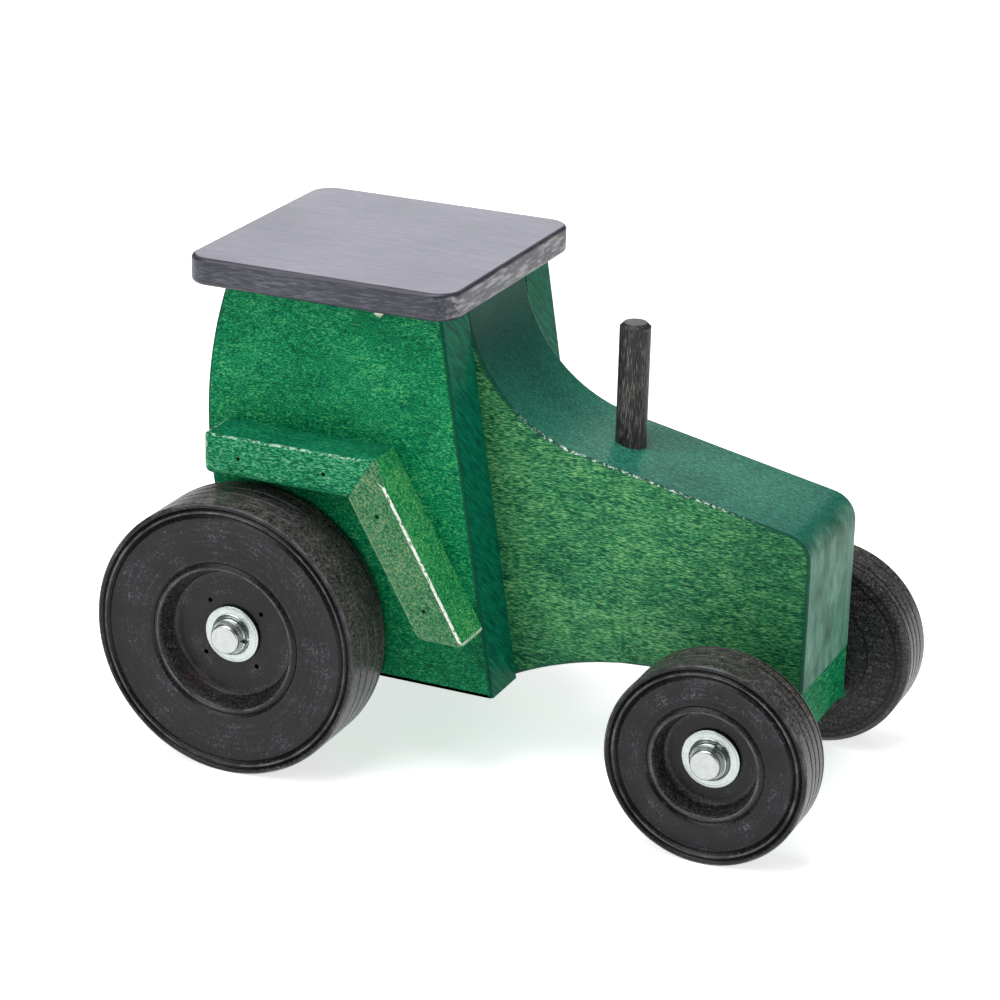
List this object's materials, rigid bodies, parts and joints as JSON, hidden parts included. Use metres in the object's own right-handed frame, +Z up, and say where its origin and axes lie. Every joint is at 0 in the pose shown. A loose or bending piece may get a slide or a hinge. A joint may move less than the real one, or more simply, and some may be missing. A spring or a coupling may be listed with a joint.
{
  "type": "toy tractor",
  "caption": "Wooden toy farm tractor with a cab, flat roof, exhaust, mudguards, large rear wheels and small front wheels on steel axles.",
  "frame": {"origin": "on the ground, under the middle of the tractor's length and on its middle plane", "axes": "+X forwards, +Y to the tractor's left, +Z up"},
  "size_m": [0.24, 0.1356, 0.165],
  "materials": {
    "green_core": "green translucent stain on beech, satin",
    "green_panels": "green translucent stain on beech, satin",
    "green_mudguards": "green translucent stain on beech, worn pale edges",
    "green_beam": "green translucent stain on beech, satin",
    "black_roof": "black stain on beech, satin with a violet cast",
    "black_exhaust": "black stain on dowel, satin",
    "black_wheels": "black stain on turned beech, satin",
    "dowels": "bare beech dowel",
    "brads": "bright wire, dull",
    "axle_steel": "bright drawn steel rod",
    "cap_zinc": "zinc-plated spring steel"
  },
  "bodies": {
    "body": {"core": "green_core", "cab_panel_left": "green_panels", "cab_panel_right": "green_panels", "mudguard_level_left": "green_mudguards", "mudguard_level_right": "green_mudguards", "mudguard_sloping_left": "green_mudguards", "mudguard_sloping_right": "green_mudguards", "mudguard_brads": "brads", "roof": "black_roof", "exhaust": "black_exhaust", "front_axle_beam": "green_beam", "panel_dowels": "dowels", "roof_dowels": "dowels", "beam_dowels": "dowels", "rear_axle": "axle_steel", "front_axle": "axle_steel", "rear_axle_cap_left": "cap_zinc", "rear_axle_cap_right": "cap_zinc", "front_axle_cap_left": "cap_zinc", "front_axle_cap_right": "cap_zinc"},
    "rear_wheel_left": {"rear_wheel_left": "black_wheels"},
    "rear_wheel_right": {"rear_wheel_right": "black_wheels"},
    "front_wheel_left": {"front_wheel_left": "black_wheels"},
    "front_wheel_right": {"front_wheel_right": "black_wheels"}
  },
  "joints": [
    {"name": "rear_wheel_left_spin", "type": "hinge", "parent": "body", "child": "rear_wheel_left", "pos_m": [-0.074, 0.055, 0.046], "axis": [0, 1, 0], "continuous": true},
    {"name": "rear_wheel_right_spin", "type": "hinge", "parent": "body", "child": "rear_wheel_right", "pos_m": [-0.074, -0.055, 0.046], "axis": [0, 1, 0], "continuous": true},
    {"name": "front_wheel_left_spin", "type": "hinge", "parent": "body", "child": "front_wheel_left", "pos_m": [0.087, 0.05, 0.033], "axis": [0, 1, 0], "continuous": true},
    {"name": "front_wheel_right_spin", "type": "hinge", "parent": "body", "child": "front_wheel_right", "pos_m": [0.087, -0.05, 0.033], "axis": [0, 1, 0], "continuous": true}
  ]
}
